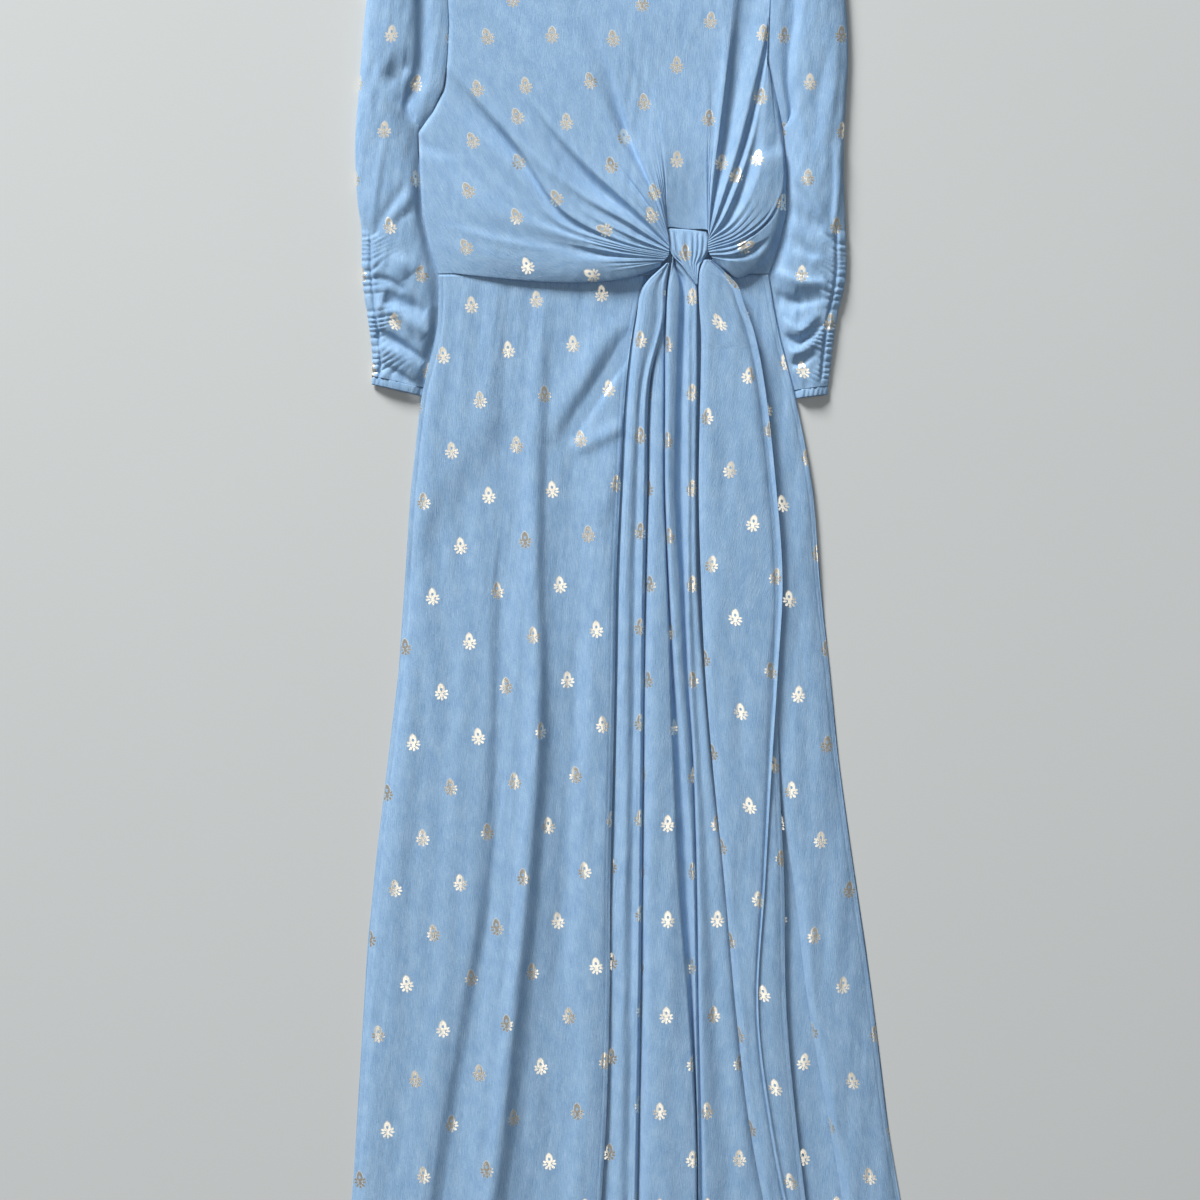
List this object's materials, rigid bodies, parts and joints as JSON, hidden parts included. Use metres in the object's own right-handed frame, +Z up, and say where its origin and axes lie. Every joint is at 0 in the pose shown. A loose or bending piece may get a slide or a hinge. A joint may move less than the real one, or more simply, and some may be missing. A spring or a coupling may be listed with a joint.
{
  "type": "twist waist dress",
  "caption": "Long dress laid flat: draped bodice gathered into a twisted waist, ruched elbow sleeves and wrapped skirt panels with hanging drapes",
  "frame": {"origin": "centre of the bounding box in plan, on the surface that the dress lies on", "axes": "+Z up off the surface, +Y along the dress from hem to neck, +X to the viewer's right looking down with the neck away"},
  "size_m": [0.62, 1.512, 0.0231],
  "materials": {
    "voile": "thin crinkled sky-blue voile with a fine vertical grain and small metallic foil leaf motifs in a half-drop repeat",
    "voile_back": "the same voile, seen on the inside of the back and at the back neck"
  },
  "bodies": {
    "root": {"bodice_back": "voile_back", "skirt_back": "voile_back", "bodice_front": "voile", "waist_tab": "voile", "skirt_left_front": "voile", "skirt_centre": "voile", "skirt_right_front": "voile", "drape_left": "voile", "drape_right": "voile", "sleeve_left": "voile", "sleeve_right": "voile", "cuff_left": "voile", "cuff_right": "voile"}
  },
  "joints": []
}
